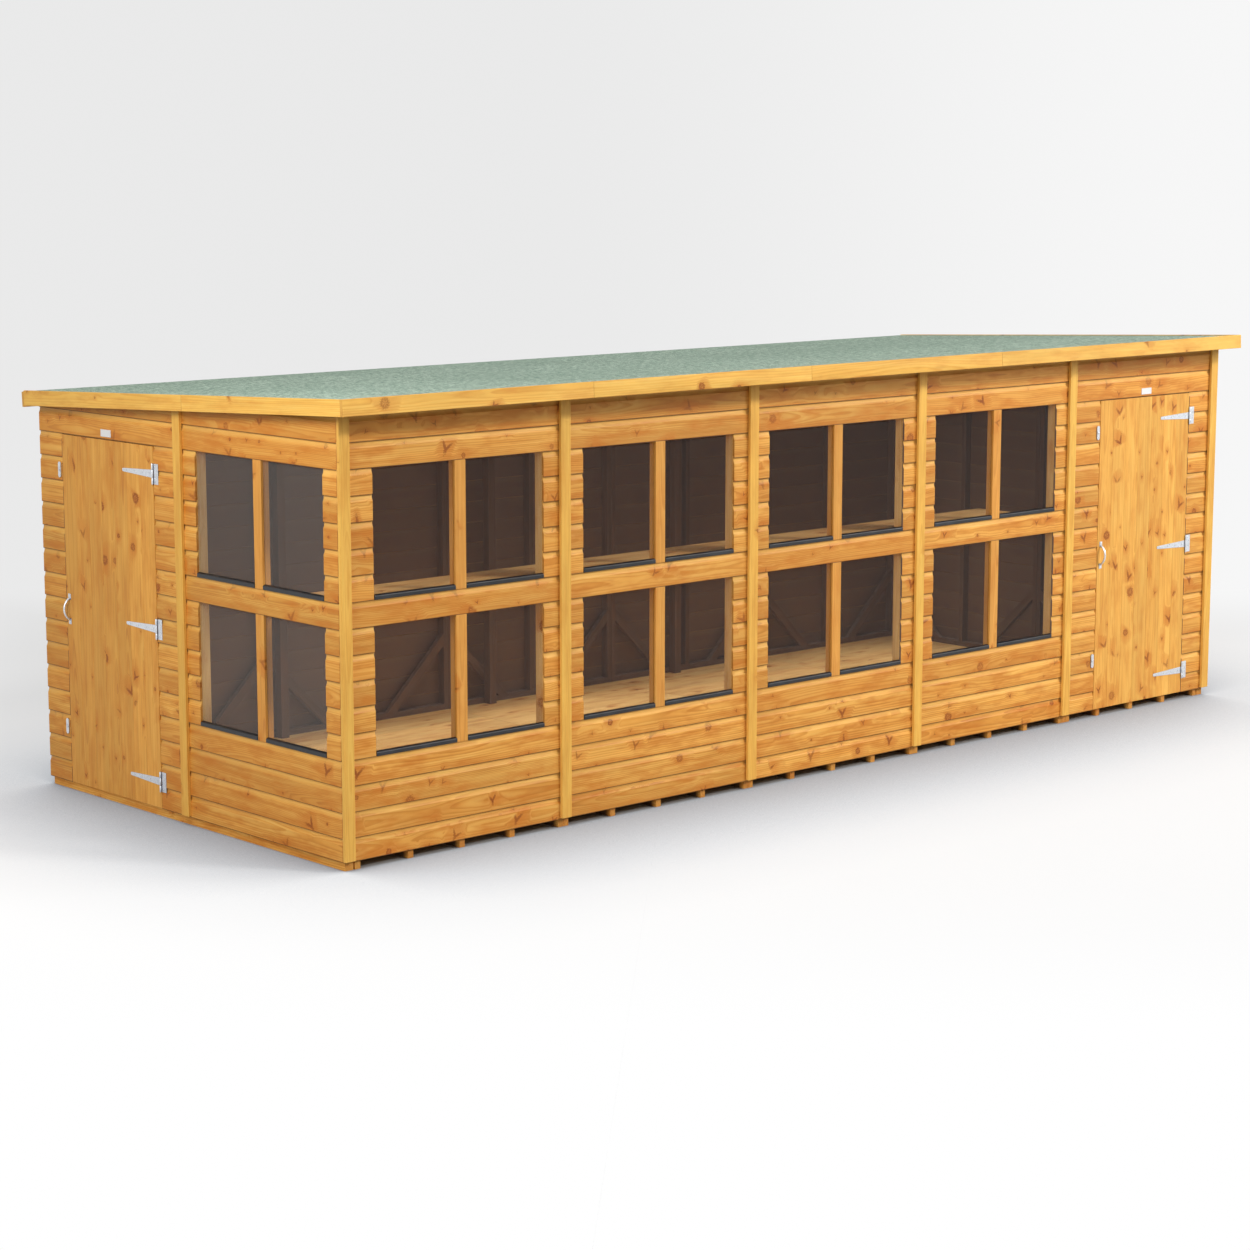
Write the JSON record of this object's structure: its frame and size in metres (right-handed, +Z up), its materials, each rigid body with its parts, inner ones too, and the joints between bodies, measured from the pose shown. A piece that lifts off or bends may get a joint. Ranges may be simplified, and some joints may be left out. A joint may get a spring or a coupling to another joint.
{
  "type": "potting shed",
  "caption": "Long low pent timber potting shed: shiplap panels on a joisted floor, glazed along the front and one end, with ledged and braced doors on T-hinges.",
  "frame": {"origin": "on the ground, in the middle of the outer faces of the walls", "axes": "+X along the front to the right, +Y from the front to the back, +Z up"},
  "size_m": [6.258, 2.5689, 2.0555],
  "materials": {
    "front_shiplap": "clear dipped, satin",
    "end_shiplap": "clear dipped, satin",
    "frame_timber": "sawn",
    "door_boards": "clear dipped, satin",
    "trim_timber": "planed",
    "floor_timber": "planed",
    "roof_timber": "sawn",
    "roofing_felt": "mineral grit",
    "glazing": "clear",
    "sill_plastic": "satin",
    "zinc_steel": "bright zinc plated",
    "name_plate": "satin, bare"
  },
  "bodies": {
    "shed": {"back_cover_strips": "trim_timber", "back_fascia": "trim_timber", "back_wall_cladding": "end_shiplap", "back_wall_frame": "frame_timber", "end_bearers": "frame_timber", "end_door_panel_cladding": "end_shiplap", "end_door_panel_frame": "frame_timber", "end_glazing_bars": "trim_timber", "end_window_panel_cladding": "end_shiplap", "end_window_panel_frame": "frame_timber", "end_window_panes": "glazing", "end_window_sills": "sill_plastic", "floor_boards": "floor_timber", "floor_joists": "frame_timber", "front_cover_strips": "trim_timber", "front_door_panel_cladding": "front_shiplap", "front_door_panel_frame": "frame_timber", "front_fascia": "trim_timber", "front_glazing_bars": "trim_timber", "front_window_panel_1_cladding": "front_shiplap", "front_window_panel_1_frame": "frame_timber", "front_window_panel_2_cladding": "front_shiplap", "front_window_panel_2_frame": "frame_timber", "front_window_panel_3_cladding": "front_shiplap", "front_window_panel_3_frame": "frame_timber", "front_window_panel_4_cladding": "front_shiplap", "front_window_panel_4_frame": "frame_timber", "front_window_panes": "glazing", "front_window_sills": "sill_plastic", "hinge_pins": "zinc_steel", "hinge_plates": "zinc_steel", "left_cover_strip": "trim_timber", "left_fascia": "trim_timber", "name_plates": "name_plate", "right_cover_strip": "trim_timber", "right_fascia": "trim_timber", "right_wall_cladding": "end_shiplap", "right_wall_frame": "frame_timber", "roof_boards": "roof_timber", "roof_felt": "roofing_felt", "roof_posts": "frame_timber", "roof_rafters": "roof_timber", "shelf_brackets": "frame_timber", "shelf_planks": "floor_timber", "wall_screws": "zinc_steel"},
    "front_door": {"front_door_boards": "door_boards", "front_door_ledges_and_braces": "frame_timber", "front_door_hinge_straps": "zinc_steel", "front_door_handle": "zinc_steel", "front_door_screws": "zinc_steel"},
    "front_door_top_turn": {"front_door_top_button": "zinc_steel"},
    "front_door_low_turn": {"front_door_low_button": "zinc_steel"},
    "end_door": {"end_door_boards": "door_boards", "end_door_ledges_and_braces": "frame_timber", "end_door_hinge_straps": "zinc_steel", "end_door_handle": "zinc_steel", "end_door_screws": "zinc_steel"},
    "end_door_top_turn": {"end_door_top_button": "zinc_steel"},
    "end_door_low_turn": {"end_door_low_button": "zinc_steel"}
  },
  "joints": [
    {"name": "front_door_swing", "type": "hinge", "parent": "shed", "child": "front_door", "pos_m": [2.8365, -1.2053, 0.891], "axis": [0, 0, 1], "range_deg": [0, 170]},
    {"name": "front_door_top_button_turn", "type": "hinge", "parent": "shed", "child": "front_door_top_turn", "pos_m": [2.03, -1.203, 1.568], "axis": [0, -1, 0], "continuous": true},
    {"name": "front_door_low_button_turn", "type": "hinge", "parent": "shed", "child": "front_door_low_turn", "pos_m": [2.03, -1.203, 0.316], "axis": [0, -1, 0], "continuous": true},
    {"name": "end_door_swing", "type": "hinge", "parent": "shed", "child": "end_door", "pos_m": [-3.0693, 0.2145, 0.891], "axis": [0, 0, 1], "range_deg": [0, 170]},
    {"name": "end_door_top_button_turn", "type": "hinge", "parent": "shed", "child": "end_door_top_turn", "pos_m": [-3.067, 1.021, 1.568], "axis": [-1, 0, 0], "continuous": true},
    {"name": "end_door_low_button_turn", "type": "hinge", "parent": "shed", "child": "end_door_low_turn", "pos_m": [-3.067, 1.021, 0.316], "axis": [-1, 0, 0], "continuous": true}
  ]
}
